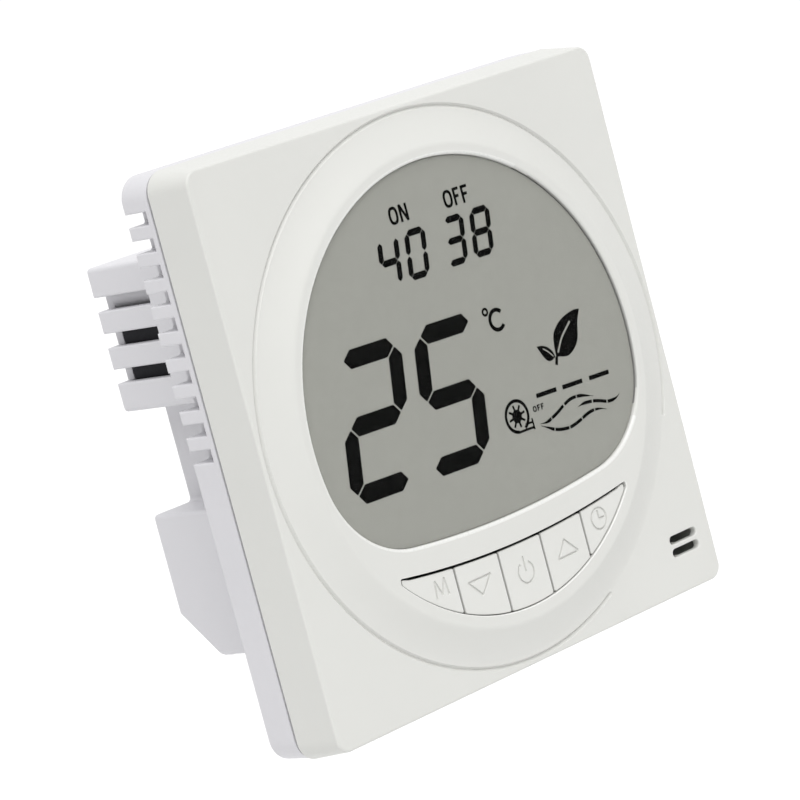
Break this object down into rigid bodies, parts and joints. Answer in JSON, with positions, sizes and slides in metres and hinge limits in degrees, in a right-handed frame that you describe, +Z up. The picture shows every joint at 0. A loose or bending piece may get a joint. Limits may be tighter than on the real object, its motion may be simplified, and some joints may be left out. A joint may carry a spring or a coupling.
{
  "type": "wall thermostat",
  "caption": "Flush wall thermostat: a snap-off square front panel with round LCD window and touch keys, on a rear case with relays and screw terminals.",
  "frame": {"origin": "centre of the wall plane (rear face of the flange), midway between the two wall screw slots", "axes": "+Z up on the wall, +Y into the wall and the wall box, -Y out of the front face, +X to the right as seen from the front"},
  "size_m": [0.086, 0.0432, 0.086],
  "materials": {
    "front_shell": "fine moulded texture, warm white",
    "key_caps": "moulded, warm white",
    "window": "polished clear acrylic",
    "display": "grey liquid crystal glass",
    "diffuser": "milky light guide",
    "black_plastic": "moulded black plastic",
    "contact_rubber": "silicone rubber",
    "circuit_board": "green solder mask on glass laminate",
    "steel": "nickel plated steel",
    "metal_can": "drawn metal can",
    "rear_shell": "fine moulded texture, cool white",
    "terminal_green": "moulded green plastic",
    "ferrite": "sintered ferrite",
    "winding_tape": "yellow winding tape",
    "blue_epoxy": "dipped epoxy coating",
    "ceramic": "glazed ceramic tube"
  },
  "bodies": {
    "base": {"rear_case": "rear_shell", "barrier_plate": "black_plastic", "power_board": "circuit_board", "header_socket": "black_plastic", "low_fan_relay": "black_plastic", "medium_fan_relay": "black_plastic", "high_fan_relay": "black_plastic", "valve_relay": "black_plastic", "transformer_core": "ferrite", "transformer_winding": "winding_tape", "supply_capacitor": "metal_can", "output_capacitor": "black_plastic", "varistor": "blue_epoxy", "fuse": "ceramic", "terminal_block": "terminal_green", "case_screw_1": "steel", "case_screw_2": "steel", "case_screw_3": "steel", "case_screw_4": "steel"},
    "front_panel": {"front_cover": "front_shell", "lcd_lens": "window", "lcd_glass": "display", "backlight": "diffuser", "lcd_frame": "black_plastic", "zebra_strip": "contact_rubber", "control_board": "circuit_board", "pin_header": "black_plastic", "controller_chip": "black_plastic", "sounder": "black_plastic", "backup_cell": "metal_can", "air_sensor": "black_plastic", "mode_switch": "black_plastic", "down_switch": "black_plastic", "power_switch": "black_plastic", "up_switch": "black_plastic", "clock_switch": "black_plastic", "cover_screw_1": "steel", "cover_screw_2": "steel", "cover_screw_3": "steel", "cover_screw_4": "steel"},
    "mode_key": {"mode_key": "key_caps"},
    "mode_plunger": {"mode_plunger": "black_plastic"},
    "down_key": {"down_key": "key_caps"},
    "down_plunger": {"down_plunger": "black_plastic"},
    "power_key": {"power_key": "key_caps"},
    "power_plunger": {"power_plunger": "black_plastic"},
    "up_key": {"up_key": "key_caps"},
    "up_plunger": {"up_plunger": "black_plastic"},
    "clock_key": {"clock_key": "key_caps"},
    "clock_plunger": {"clock_plunger": "black_plastic"},
    "terminal_screw_1": {"terminal_screw_1": "steel"},
    "terminal_screw_2": {"terminal_screw_2": "steel"},
    "terminal_screw_3": {"terminal_screw_3": "steel"},
    "terminal_screw_4": {"terminal_screw_4": "steel"},
    "terminal_screw_5": {"terminal_screw_5": "steel"},
    "terminal_screw_6": {"terminal_screw_6": "steel"},
    "terminal_screw_7": {"terminal_screw_7": "steel"},
    "terminal_screw_8": {"terminal_screw_8": "steel"}
  },
  "joints": [
    {"name": "front_panel_pull", "type": "slide", "parent": "base", "child": "front_panel", "axis": [0, -1, 0], "range_m": [0, 0.02]},
    {"name": "mode_key_press", "type": "slide", "parent": "front_panel", "child": "mode_key", "axis": [0, 1, 0], "range_m": [0, 0.0006], "stiffness_N_per_m": 1200},
    {"name": "mode_plunger_press", "type": "slide", "parent": "front_panel", "child": "mode_plunger", "axis": [0, 1, 0], "range_m": [0, 0.0006]},
    {"name": "down_key_press", "type": "slide", "parent": "front_panel", "child": "down_key", "axis": [0, 1, 0], "range_m": [0, 0.0006], "stiffness_N_per_m": 1200},
    {"name": "down_plunger_press", "type": "slide", "parent": "front_panel", "child": "down_plunger", "axis": [0, 1, 0], "range_m": [0, 0.0006]},
    {"name": "power_key_press", "type": "slide", "parent": "front_panel", "child": "power_key", "axis": [0, 1, 0], "range_m": [0, 0.0006], "stiffness_N_per_m": 1200},
    {"name": "power_plunger_press", "type": "slide", "parent": "front_panel", "child": "power_plunger", "axis": [0, 1, 0], "range_m": [0, 0.0006]},
    {"name": "up_key_press", "type": "slide", "parent": "front_panel", "child": "up_key", "axis": [0, 1, 0], "range_m": [0, 0.0006], "stiffness_N_per_m": 1200},
    {"name": "up_plunger_press", "type": "slide", "parent": "front_panel", "child": "up_plunger", "axis": [0, 1, 0], "range_m": [0, 0.0006]},
    {"name": "clock_key_press", "type": "slide", "parent": "front_panel", "child": "clock_key", "axis": [0, 1, 0], "range_m": [0, 0.0006], "stiffness_N_per_m": 1200},
    {"name": "clock_plunger_press", "type": "slide", "parent": "front_panel", "child": "clock_plunger", "axis": [0, 1, 0], "range_m": [0, 0.0006]},
    {"name": "terminal_screw_1_turn", "type": "hinge", "parent": "base", "child": "terminal_screw_1", "pos_m": [-0.021, 0.0241, -0.0264], "axis": [0, 0.7071, -0.7071], "range_deg": [0, 720]},
    {"name": "terminal_screw_2_turn", "type": "hinge", "parent": "base", "child": "terminal_screw_2", "pos_m": [-0.015, 0.0241, -0.0264], "axis": [0, 0.7071, -0.7071], "range_deg": [0, 720]},
    {"name": "terminal_screw_3_turn", "type": "hinge", "parent": "base", "child": "terminal_screw_3", "pos_m": [-0.009, 0.0241, -0.0264], "axis": [0, 0.7071, -0.7071], "range_deg": [0, 720]},
    {"name": "terminal_screw_4_turn", "type": "hinge", "parent": "base", "child": "terminal_screw_4", "pos_m": [-0.003, 0.0241, -0.0264], "axis": [0, 0.7071, -0.7071], "range_deg": [0, 720]},
    {"name": "terminal_screw_5_turn", "type": "hinge", "parent": "base", "child": "terminal_screw_5", "pos_m": [0.003, 0.0241, -0.0264], "axis": [0, 0.7071, -0.7071], "range_deg": [0, 720]},
    {"name": "terminal_screw_6_turn", "type": "hinge", "parent": "base", "child": "terminal_screw_6", "pos_m": [0.009, 0.0241, -0.0264], "axis": [0, 0.7071, -0.7071], "range_deg": [0, 720]},
    {"name": "terminal_screw_7_turn", "type": "hinge", "parent": "base", "child": "terminal_screw_7", "pos_m": [0.015, 0.0241, -0.0264], "axis": [0, 0.7071, -0.7071], "range_deg": [0, 720]},
    {"name": "terminal_screw_8_turn", "type": "hinge", "parent": "base", "child": "terminal_screw_8", "pos_m": [0.021, 0.0241, -0.0264], "axis": [0, 0.7071, -0.7071], "range_deg": [0, 720]}
  ],
  "couplings": [
    {"joint": "mode_plunger_press", "follows": "mode_key_press", "ratio": 1},
    {"joint": "down_plunger_press", "follows": "down_key_press", "ratio": 1},
    {"joint": "power_plunger_press", "follows": "power_key_press", "ratio": 1},
    {"joint": "up_plunger_press", "follows": "up_key_press", "ratio": 1},
    {"joint": "clock_plunger_press", "follows": "clock_key_press", "ratio": 1}
  ]
}
